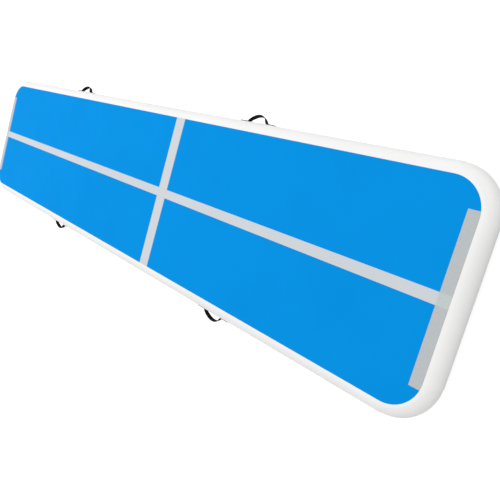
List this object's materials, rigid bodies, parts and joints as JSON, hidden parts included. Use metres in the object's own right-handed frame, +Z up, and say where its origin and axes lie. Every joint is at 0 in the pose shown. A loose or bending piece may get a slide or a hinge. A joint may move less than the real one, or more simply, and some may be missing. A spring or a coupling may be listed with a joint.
{
  "type": "inflatable tumbling track",
  "caption": "Long flat air-filled tumbling mat with a blue deck, rounded white walls, pale line markings, hook-and-loop end tapes, webbing handles and a capped valve.",
  "frame": {"origin": "on the floor, under the middle of the mat between the outermost lines of its two end walls and of its two side walls", "axes": "+X along the mat towards its front end, away from the valve; +Y to the left long side; +Z up"},
  "size_m": [4.5154, 1.0894, 0.1015],
  "materials": {
    "blue_deck_fabric": "satin",
    "grey_grip_fabric": "matte",
    "white_wall_fabric": "satin",
    "polyester_yarn": "matte",
    "pale_stripe": "satin",
    "grey_loop_tape": "matte",
    "black_webbing": "matte",
    "black_thread": "matte",
    "grey_plastic": "satin",
    "black_plastic": "satin",
    "black_rubber": "matte",
    "spring_steel": "satin"
  },
  "bodies": {
    "mat": {"top_deck": "blue_deck_fabric", "bottom_deck": "grey_grip_fabric", "drop_stitch_yarns": "polyester_yarn", "left_side_wall": "white_wall_fabric", "right_side_wall": "white_wall_fabric", "front_end_wall": "white_wall_fabric", "rear_end_wall": "white_wall_fabric", "inner_side_band": "white_wall_fabric", "top_seam_tape": "white_wall_fabric", "bottom_seam_tape": "white_wall_fabric", "centre_stripe": "pale_stripe", "cross_stripe": "pale_stripe", "front_loop_tape": "grey_loop_tape", "rear_loop_tape": "grey_loop_tape", "handle_bar_tacks": "black_thread", "valve_pad": "white_wall_fabric", "valve_gasket": "black_rubber", "leash_collar": "grey_plastic", "valve_body": "grey_plastic", "valve_seat": "grey_plastic", "valve_washer": "black_rubber", "valve_nut": "grey_plastic", "valve_spring": "spring_steel", "left_front_handle_patch": "white_wall_fabric", "left_front_handle_ends": "black_webbing", "left_rear_handle_patch": "white_wall_fabric", "left_rear_handle_ends": "black_webbing", "right_front_handle_patch": "white_wall_fabric", "right_front_handle_ends": "black_webbing", "right_rear_handle_patch": "white_wall_fabric", "right_rear_handle_ends": "black_webbing"},
    "spring_cup": {"valve_spring_cup": "grey_plastic"},
    "valve_poppet": {"valve_stem": "black_plastic", "valve_seal": "black_rubber"},
    "cap_leash": {"cap_leash": "grey_plastic"},
    "valve_cap": {"cap_shell": "grey_plastic", "cap_gasket": "black_rubber"},
    "left_front_handle": {"left_front_handle_loop": "black_webbing"},
    "left_rear_handle": {"left_rear_handle_loop": "black_webbing"},
    "right_front_handle": {"right_front_handle_loop": "black_webbing"},
    "right_rear_handle": {"right_rear_handle_loop": "black_webbing"}
  },
  "joints": [
    {"name": "left_front_handle_swing", "type": "hinge", "parent": "mat", "child": "left_front_handle", "pos_m": [0.945, 0.5062, 0.05], "axis": [1, 0, 0], "range_deg": [-27, 63]},
    {"name": "left_rear_handle_swing", "type": "hinge", "parent": "mat", "child": "left_rear_handle", "pos_m": [-0.95, 0.5062, 0.05], "axis": [1, 0, 0], "range_deg": [-27, 63]},
    {"name": "right_front_handle_swing", "type": "hinge", "parent": "mat", "child": "right_front_handle", "pos_m": [1.01, -0.5062, 0.05], "axis": [-1, 0, 0], "range_deg": [-27, 63]},
    {"name": "right_rear_handle_swing", "type": "hinge", "parent": "mat", "child": "right_rear_handle", "pos_m": [-0.875, -0.5062, 0.05], "axis": [-1, 0, 0], "range_deg": [-27, 63]},
    {"name": "valve_push", "type": "slide", "parent": "mat", "child": "spring_cup", "axis": [1, 0, 0], "range_m": [0, 0.005], "stiffness_N_per_m": 500, "springref_m": -0.003, "deforming": ["valve_spring"]},
    {"name": "valve_lock_turn", "type": "hinge", "parent": "spring_cup", "child": "valve_poppet", "pos_m": [-2.25, 0, 0.05], "axis": [1, 0, 0], "range_deg": [0, 90]},
    {"name": "cap_swing", "type": "hinge", "parent": "mat", "child": "cap_leash", "pos_m": [-2.2524, 0.031, 0.05], "axis": [0, 0, -1], "range_deg": [0, 90]},
    {"name": "cap_turn", "type": "hinge", "parent": "cap_leash", "child": "valve_cap", "pos_m": [-2.25, 0, 0.05], "axis": [-1, 0, 0], "range_deg": [0, 90]}
  ]
}
